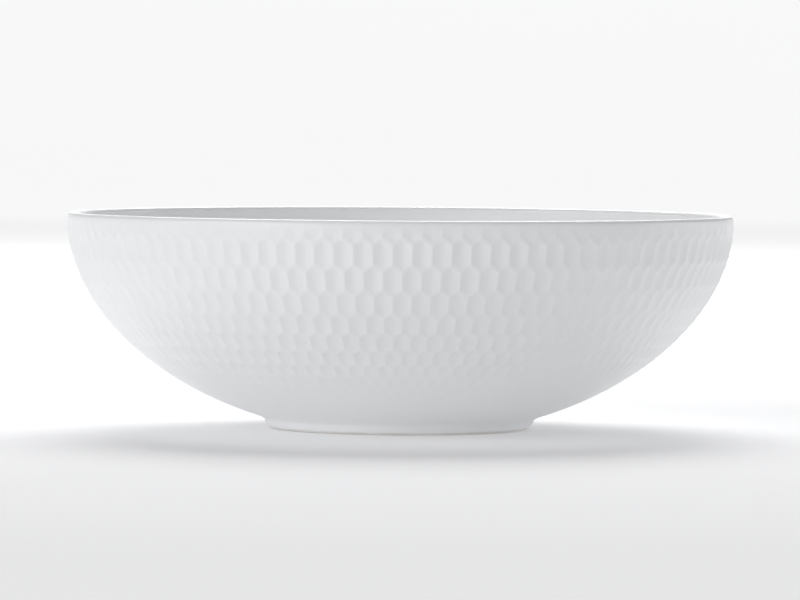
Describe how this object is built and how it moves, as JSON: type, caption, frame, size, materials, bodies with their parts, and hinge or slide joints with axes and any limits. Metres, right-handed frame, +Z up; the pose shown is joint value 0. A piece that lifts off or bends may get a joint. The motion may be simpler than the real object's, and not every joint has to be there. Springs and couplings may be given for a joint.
{
  "type": "serving bowl",
  "caption": "Wide round serving bowl with a curved wall, rounded lip, shallow honeycomb texture outside and a low foot ring.",
  "frame": {"origin": "centre of the foot ring's underside, on the surface that the bowl stands on", "axes": "+Z up along the bowl's axis; X and Y are level and alike, because the bowl is round"},
  "size_m": [0.28, 0.28, 0.0905],
  "materials": {
    "bare_porcelain": "unglazed, fine-grained and matte where the foot is wiped clean",
    "white_glaze": "clear glaze over white porcelain, smooth and softly glossy"
  },
  "bodies": {
    "root": {"porcelain_body": "bare_porcelain", "foot_ring": "bare_porcelain", "outer_glaze": "white_glaze", "inner_glaze": "white_glaze", "base_glaze": "white_glaze"}
  },
  "joints": []
}
